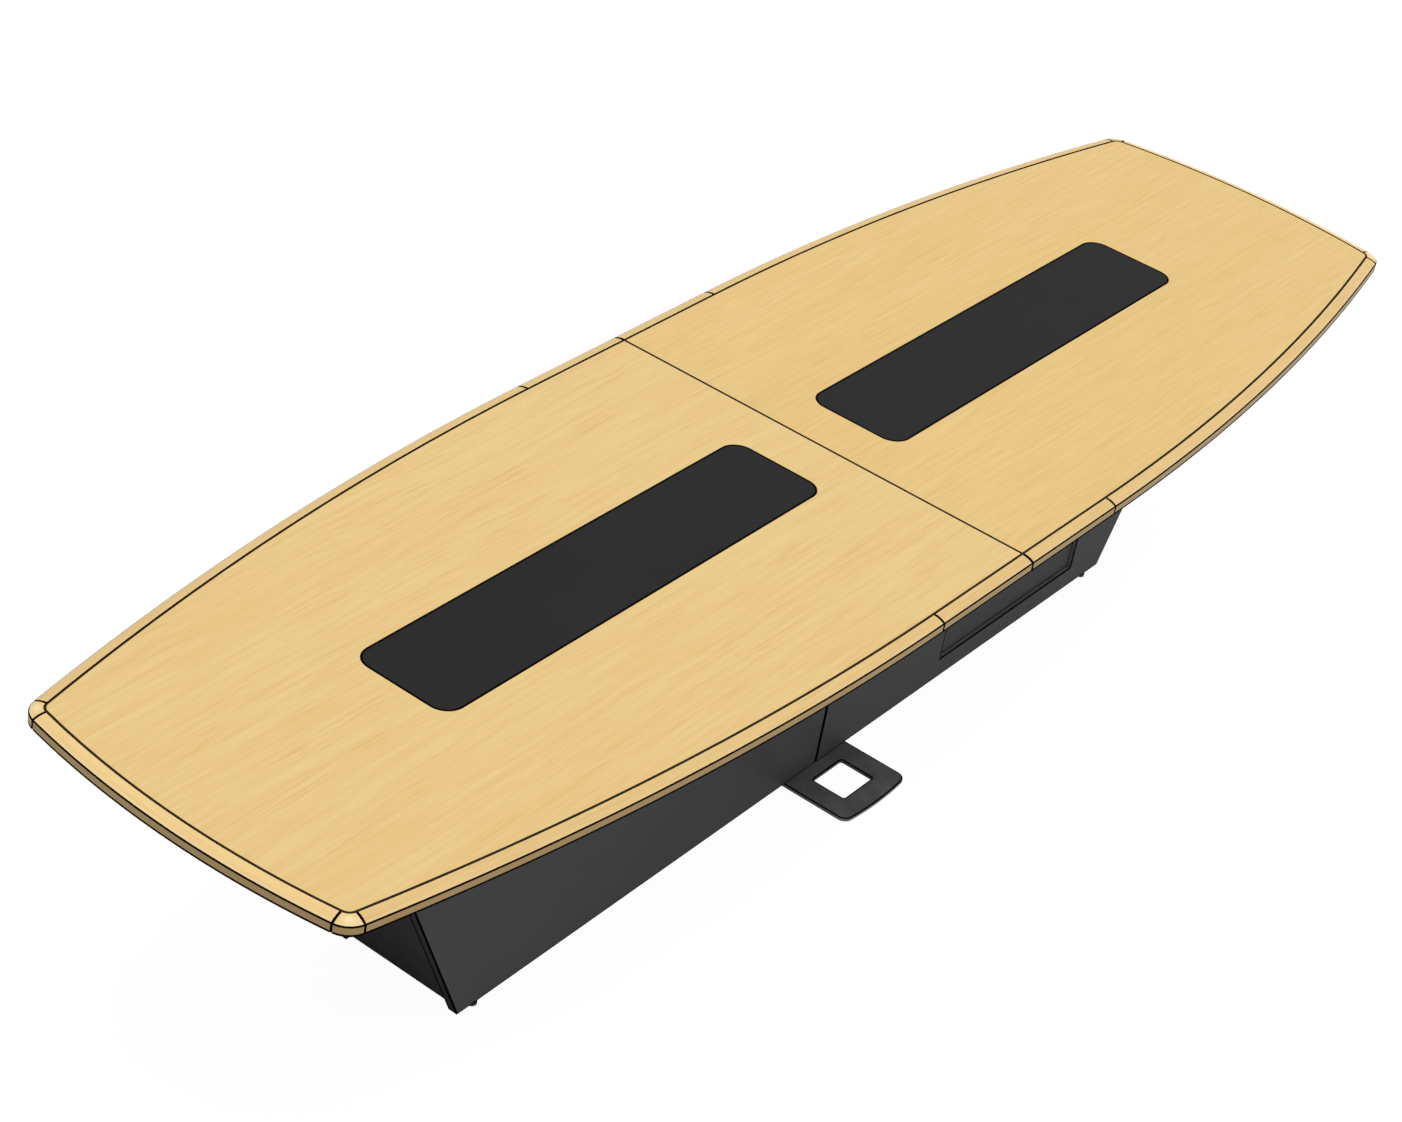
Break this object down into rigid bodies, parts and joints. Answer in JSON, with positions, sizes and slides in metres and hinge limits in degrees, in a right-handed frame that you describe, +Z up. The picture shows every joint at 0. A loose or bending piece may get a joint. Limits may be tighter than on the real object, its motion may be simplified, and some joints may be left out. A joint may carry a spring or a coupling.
{
  "type": "conference table",
  "caption": "Boat-shaped conference table with solid edging, lift-out inset panels over cable wells, a sloping-ended base with an access cover, a foot plate and levelling glides.",
  "frame": {"origin": "on the floor under the middle of the top", "axes": "+X along the length towards the end that holds the access panel, -Y towards the side with the access panel, +Z up"},
  "size_m": [3.6, 1.06, 0.74],
  "materials": {
    "light_wood_veneer": "satin lacquered veneer, grain along the length",
    "light_wood_edging": "satin lacquered solid wood, grain along each piece",
    "black_inset": "matt black laminate",
    "charcoal_panel": "satin charcoal laminate on board",
    "charcoal_end": "satin dark laminate on board",
    "bare_wood": "planed, unfinished",
    "coated_plate": "fine textured powder coat",
    "rubber_pad": "matt",
    "glide_black": "satin moulded",
    "zinc_steel": "zinc plated"
  },
  "bodies": {
    "table": {"top_panel_near": "light_wood_veneer", "top_panel_far": "light_wood_veneer", "edge_front_straight_near": "light_wood_edging", "edge_front_straight_far": "light_wood_edging", "edge_front_bow_near": "light_wood_edging", "edge_front_bow_far": "light_wood_edging", "edge_front_corner_near": "light_wood_edging", "edge_front_corner_far": "light_wood_edging", "edge_back_straight_near": "light_wood_edging", "edge_back_straight_far": "light_wood_edging", "edge_back_bow_near": "light_wood_edging", "edge_back_bow_far": "light_wood_edging", "edge_back_corner_near": "light_wood_edging", "edge_back_corner_far": "light_wood_edging", "edge_end_near": "light_wood_edging", "edge_end_far": "light_wood_edging", "seam_dowels": "bare_wood", "seam_bolts": "zinc_steel", "side_front_near": "charcoal_panel", "side_front_far": "charcoal_panel", "side_back_near": "charcoal_panel", "side_back_far": "charcoal_panel", "end_panel_near": "charcoal_end", "end_panel_far": "charcoal_end", "bulkhead_near": "charcoal_panel", "bulkhead_far": "charcoal_panel", "cleat_front_near": "bare_wood", "cleat_front_far": "bare_wood", "cleat_back_near": "bare_wood", "cleat_back_far": "bare_wood", "end_cleat_near": "bare_wood", "end_cleat_far": "bare_wood", "stretcher_near": "charcoal_panel", "stretcher_far": "charcoal_panel", "stop_frame": "charcoal_panel", "catch_magnets": "zinc_steel", "foot_plate": "coated_plate", "plate_pads": "rubber_pad", "plate_screws": "zinc_steel", "base_bolts": "zinc_steel", "cleat_screws": "zinc_steel", "glide_sleeves": "zinc_steel"},
    "inset_near": {"inset_panel_near": "black_inset"},
    "inset_far": {"inset_panel_far": "black_inset"},
    "access_cover": {"access_panel": "charcoal_panel", "catch_plates": "zinc_steel"},
    "glide_front_near": {"glide_front_near": "glide_black"},
    "glide_front_far": {"glide_front_far": "glide_black"},
    "glide_back_near": {"glide_back_near": "glide_black"},
    "glide_back_far": {"glide_back_far": "glide_black"}
  },
  "joints": [
    {"name": "inset_near_lift", "type": "slide", "parent": "table", "child": "inset_near", "axis": [0, 0, 1], "range_m": [0, 0.15]},
    {"name": "inset_far_lift", "type": "slide", "parent": "table", "child": "inset_far", "axis": [0, 0, 1], "range_m": [0, 0.15]},
    {"name": "access_pull", "type": "slide", "parent": "table", "child": "access_cover", "axis": [0, -1, 0], "range_m": [0, 0.25]},
    {"name": "glide_front_near_screw", "type": "slide", "parent": "table", "child": "glide_front_near", "axis": [0, 0, 1], "range_m": [-0.02, 0]},
    {"name": "glide_front_far_screw", "type": "slide", "parent": "table", "child": "glide_front_far", "axis": [0, 0, 1], "range_m": [-0.02, 0]},
    {"name": "glide_back_near_screw", "type": "slide", "parent": "table", "child": "glide_back_near", "axis": [0, 0, 1], "range_m": [-0.02, 0]},
    {"name": "glide_back_far_screw", "type": "slide", "parent": "table", "child": "glide_back_far", "axis": [0, 0, 1], "range_m": [-0.02, 0]}
  ]
}
